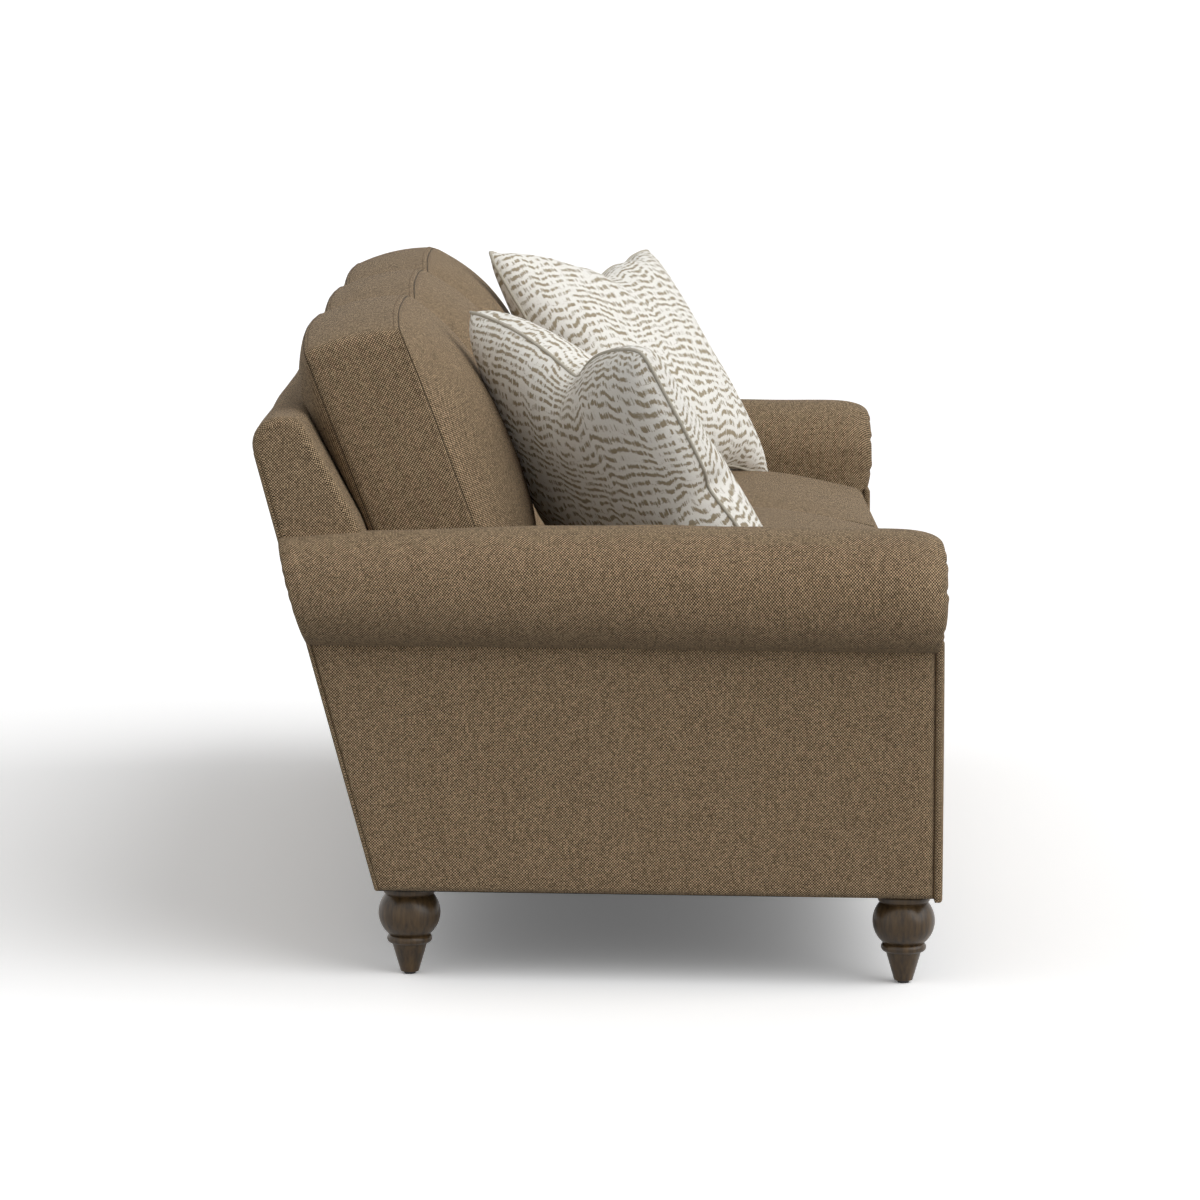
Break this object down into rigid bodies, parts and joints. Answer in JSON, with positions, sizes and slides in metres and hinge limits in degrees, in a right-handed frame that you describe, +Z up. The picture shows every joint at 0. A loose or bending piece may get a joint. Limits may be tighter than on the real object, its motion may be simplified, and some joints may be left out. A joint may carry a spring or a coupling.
{
  "type": "rolled arm sofa",
  "caption": "Three seat sofa with rolled arms, loose boxed seat and back cushions, two patterned throw pillows and dark turned legs, in brown tweed.",
  "frame": {"origin": "on the floor, below the middle of the overall box", "axes": "+X to the right as seen from the front, -Y to the front, +Z up"},
  "size_m": [2.2006, 1, 0.962],
  "materials": {
    "sofa_fabric": "matte",
    "pillow_fabric": "matte",
    "leg_wood": "satin",
    "frame_wood": "matte",
    "steel": "satin",
    "webbing": "matte",
    "black_cloth": "matte",
    "deck_cloth": "matte",
    "foam": "matte",
    "glide_plastic": "matte"
  },
  "bodies": {
    "frame": {"front_rail": "frame_wood", "rear_rail": "frame_wood", "spring_rail": "frame_wood", "center_rails": "frame_wood", "corner_blocks": "frame_wood", "back_stiles": "frame_wood", "back_top_rail": "frame_wood", "back_tack_rail": "frame_wood", "side_rail_left": "frame_wood", "side_rail_right": "frame_wood", "arm_post_left": "frame_wood", "arm_post_right": "frame_wood", "arm_top_rail_left": "frame_wood", "arm_top_rail_right": "frame_wood", "arm_tack_rail_left": "frame_wood", "arm_tack_rail_right": "frame_wood", "back_post_left": "frame_wood", "back_post_right": "frame_wood", "seat_springs": "steel", "spring_clips": "steel", "leg_bolts": "steel", "tee_nuts": "steel", "back_webbing": "webbing", "dust_cover": "black_cloth", "seat_deck": "deck_cloth", "front_border": "sofa_fabric", "inside_back_pad": "sofa_fabric", "outside_back_panel": "sofa_fabric", "back_side_panels": "sofa_fabric", "arm_roll_left": "sofa_fabric", "arm_roll_right": "sofa_fabric", "inside_arm_pad_left": "sofa_fabric", "inside_arm_pad_right": "sofa_fabric", "outside_arm_panel_left": "sofa_fabric", "outside_arm_panel_right": "sofa_fabric", "arm_facing_left": "sofa_fabric", "arm_facing_right": "sofa_fabric", "leg_front_left": "leg_wood", "leg_front_right": "leg_wood", "leg_rear_left": "leg_wood", "leg_rear_right": "leg_wood", "leg_glides": "glide_plastic"},
    "seat_cushion_left": {"seat_cushion_cover_left": "sofa_fabric", "seat_cushion_core_left": "foam"},
    "back_cushion_left": {"back_cushion_cover_left": "sofa_fabric", "back_cushion_fill_left": "foam"},
    "seat_cushion_center": {"seat_cushion_cover_center": "sofa_fabric", "seat_cushion_core_center": "foam"},
    "back_cushion_center": {"back_cushion_cover_center": "sofa_fabric", "back_cushion_fill_center": "foam"},
    "seat_cushion_right": {"seat_cushion_cover_right": "sofa_fabric", "seat_cushion_core_right": "foam"},
    "back_cushion_right": {"back_cushion_cover_right": "sofa_fabric", "back_cushion_fill_right": "foam"},
    "throw_pillow_left": {"throw_pillow_cover_left": "pillow_fabric", "throw_pillow_insert_left": "foam"},
    "throw_pillow_right": {"throw_pillow_cover_right": "pillow_fabric", "throw_pillow_insert_right": "foam"}
  },
  "joints": [
    {"name": "seat_cushion_left_lift", "type": "slide", "parent": "frame", "child": "seat_cushion_left", "axis": [0, -0.5, 0.866], "range_m": [0, 0.35]},
    {"name": "seat_cushion_center_lift", "type": "slide", "parent": "frame", "child": "seat_cushion_center", "axis": [0, -0.5, 0.866], "range_m": [0, 0.35]},
    {"name": "seat_cushion_right_lift", "type": "slide", "parent": "frame", "child": "seat_cushion_right", "axis": [0, -0.5, 0.866], "range_m": [0, 0.35]},
    {"name": "back_cushion_left_lift", "type": "slide", "parent": "frame", "child": "back_cushion_left", "axis": [0, 0.3584, 0.9336], "range_m": [0, 0.6]},
    {"name": "back_cushion_center_lift", "type": "slide", "parent": "frame", "child": "back_cushion_center", "axis": [0, 0.3584, 0.9336], "range_m": [0, 0.6]},
    {"name": "back_cushion_right_lift", "type": "slide", "parent": "frame", "child": "back_cushion_right", "axis": [0, 0.3584, 0.9336], "range_m": [0, 0.6]},
    {"name": "throw_pillow_left_lift", "type": "slide", "parent": "seat_cushion_left", "child": "throw_pillow_left", "axis": [0, -0.5, 0.866], "range_m": [0, 0.35]},
    {"name": "throw_pillow_right_lift", "type": "slide", "parent": "seat_cushion_right", "child": "throw_pillow_right", "axis": [0, -0.5, 0.866], "range_m": [0, 0.35]}
  ]
}
